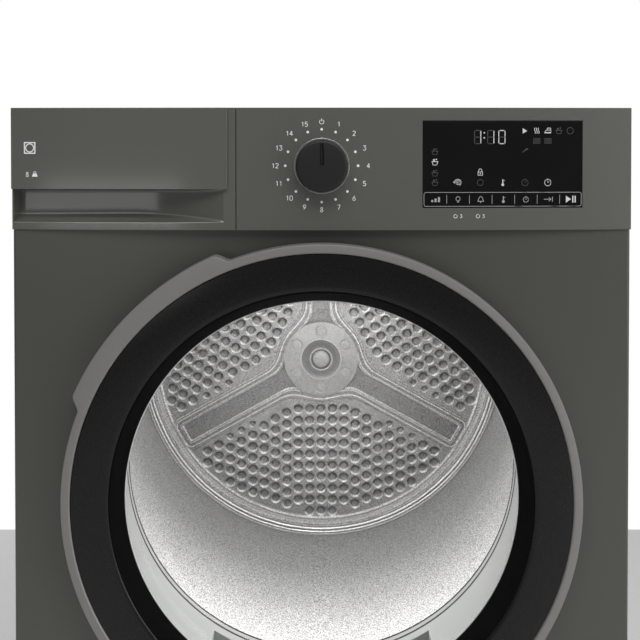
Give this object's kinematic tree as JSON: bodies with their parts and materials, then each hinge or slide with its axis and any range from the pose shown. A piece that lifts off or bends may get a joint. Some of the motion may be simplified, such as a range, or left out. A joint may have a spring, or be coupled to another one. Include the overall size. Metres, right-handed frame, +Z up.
{
  "type": "clothes dryer",
  "caption": "Free-standing front-loading heat-pump clothes dryer with a round glazed door, drum, condensate tank drawer, programme knob and touch display.",
  "frame": {"origin": "on the floor, under the middle of the dryer's bounding box", "axes": "+Z up, the front with the door and controls faces -Y, +X is the right-hand side seen from the front"},
  "size_m": [0.597, 0.568, 0.846],
  "materials": {
    "body_paint": "olive-grey metallic paint with fine flake, satin",
    "fascia_paint": "moulded plastic painted olive-grey metallic, satin",
    "galvanised_steel": "zinc-coated sheet, dull spangle",
    "black_plastic": "moulded black plastic, fine grain",
    "display_black": "black tinted touch panel with pale printed symbols",
    "grey_plastic": "moulded light grey plastic",
    "steel_hardware": "plain zinc-plated steel",
    "drum_steel": "brushed stainless steel with pressed pattern",
    "rubber_black": "black rubber",
    "felt": "pressed felt",
    "ring_metal": "warm grey satin metallic ring",
    "chrome_trim": "bright metallic trim ring",
    "bezel_black": "glossy black moulding",
    "window_glass": "clear pressed glass",
    "knob_black": "satin black with a milled pointer line",
    "aluminium_fins": "finned coil",
    "tank_plastic": "translucent white polypropylene"
  },
  "bodies": {
    "cabinet": {"side_panel_left": "body_paint", "side_panel_right": "body_paint", "top_cover": "body_paint", "front_panel": "body_paint", "rear_panel": "galvanised_steel", "rear_duct_cover": "galvanised_steel", "base_pan": "black_plastic", "control_fascia": "fascia_paint", "display_glass": "display_black", "control_board": "grey_plastic", "tank_guide": "grey_plastic", "drum_bulkhead": "grey_plastic", "rear_bulkhead": "galvanised_steel", "hinge_bracket": "steel_hardware", "door_catch": "black_plastic", "drive_belt": "rubber_black", "drive_motor": "galvanised_steel", "tensioner_bracket": "galvanised_steel", "fan_housing": "grey_plastic", "compressor": "black_plastic", "evaporator": "aluminium_fins", "condenser": "aluminium_fins", "condensate_pump": "grey_plastic", "tank_fill_hose": "rubber_black", "flap_hinge_pin": "steel_hardware", "exchanger_cover": "grey_plastic", "terminal_cover": "black_plastic", "drum_bearing": "steel_hardware", "front_seal": "felt", "rear_seal": "felt", "drum_lamp": "window_glass"},
    "door": {"door_ring": "ring_metal", "door_bezel": "bezel_black", "door_glass": "window_glass", "door_frame": "grey_plastic", "door_gasket": "rubber_black", "door_latch": "steel_hardware", "door_hinge_leaf": "steel_hardware"},
    "tank_drawer": {"drawer_front": "fascia_paint", "water_tank": "tank_plastic", "tank_lid": "grey_plastic"},
    "knob": {"programme_knob": "knob_black", "knob_ring": "chrome_trim"},
    "drum": {"drum_shell": "drum_steel", "drum_back": "drum_steel", "drum_shaft": "steel_hardware", "lifter_left": "drum_steel", "lifter_right": "drum_steel"},
    "motor_rotor": {"motor_shaft": "steel_hardware", "fan_impeller": "grey_plastic"},
    "tensioner": {"idler_arm": "steel_hardware"},
    "idler": {"idler_wheel": "black_plastic"},
    "support_roller_left": {"roller_left": "black_plastic"},
    "support_roller_right": {"roller_right": "black_plastic"},
    "service_flap": {"lower_flap": "body_paint"},
    "filter": {"lint_filter": "grey_plastic"},
    "front_left_foot": {"foot_front_left": "black_plastic"},
    "front_right_foot": {"foot_front_right": "black_plastic"},
    "rear_left_foot": {"foot_rear_left": "black_plastic"},
    "rear_right_foot": {"foot_rear_right": "black_plastic"}
  },
  "joints": [
    {"name": "door_hinge", "type": "hinge", "parent": "cabinet", "child": "door", "pos_m": [0.2305, -0.276, 0.472], "axis": [0, 0, 1], "range_deg": [0, 110]},
    {"name": "tank_slide", "type": "slide", "parent": "cabinet", "child": "tank_drawer", "axis": [0, -1, 0], "range_m": [0, 0.36]},
    {"name": "knob_turn", "type": "hinge", "parent": "cabinet", "child": "knob", "pos_m": [0, -0.266, 0.7905], "axis": [0, 1, 0], "continuous": true},
    {"name": "drum_spin", "type": "hinge", "parent": "cabinet", "child": "drum", "pos_m": [0, 0, 0.472], "axis": [0, 1, 0], "continuous": true},
    {"name": "motor_spin", "type": "hinge", "parent": "cabinet", "child": "motor_rotor", "pos_m": [0.17, 0, 0.112], "axis": [0, 1, 0], "continuous": true},
    {"name": "tensioner_swing", "type": "hinge", "parent": "cabinet", "child": "tensioner", "pos_m": [0.03, -0.08, 0.16], "axis": [0, 1, 0], "range_deg": [-10, 0], "stiffness_Nm_per_rad": 2, "springref_deg": 8.59},
    {"name": "idler_spin", "type": "hinge", "parent": "tensioner", "child": "idler", "pos_m": [0.096, -0.092, 0.15], "axis": [0, 1, 0], "continuous": true},
    {"name": "roller_left_spin", "type": "hinge", "parent": "cabinet", "child": "support_roller_left", "pos_m": [-0.1566, -0.148, 0.2007], "axis": [0, 1, 0], "continuous": true},
    {"name": "roller_right_spin", "type": "hinge", "parent": "cabinet", "child": "support_roller_right", "pos_m": [0.1566, -0.148, 0.2007], "axis": [0, 1, 0], "continuous": true},
    {"name": "flap_hinge", "type": "hinge", "parent": "cabinet", "child": "service_flap", "pos_m": [-0.12, -0.252, 0.052], "axis": [1, 0, 0], "range_deg": [0, 90]},
    {"name": "filter_lift", "type": "slide", "parent": "cabinet", "child": "filter", "axis": [0, 0, 1], "range_m": [0, 0.11]},
    {"name": "foot_front_left_screw", "type": "slide", "parent": "cabinet", "child": "front_left_foot", "axis": [0, 0, -1], "range_m": [0, 0.012]},
    {"name": "foot_front_right_screw", "type": "slide", "parent": "cabinet", "child": "front_right_foot", "axis": [0, 0, -1], "range_m": [0, 0.012]},
    {"name": "foot_rear_left_screw", "type": "slide", "parent": "cabinet", "child": "rear_left_foot", "axis": [0, 0, -1], "range_m": [0, 0.012]},
    {"name": "foot_rear_right_screw", "type": "slide", "parent": "cabinet", "child": "rear_right_foot", "axis": [0, 0, -1], "range_m": [0, 0.012]}
  ],
  "couplings": [
    {"joint": "motor_spin", "follows": "drum_spin", "ratio": 32.056},
    {"joint": "idler_spin", "follows": "drum_spin", "ratio": 18.031},
    {"joint": "roller_left_spin", "follows": "drum_spin", "ratio": -12.021},
    {"joint": "roller_right_spin", "follows": "drum_spin", "ratio": -12.021}
  ]
}
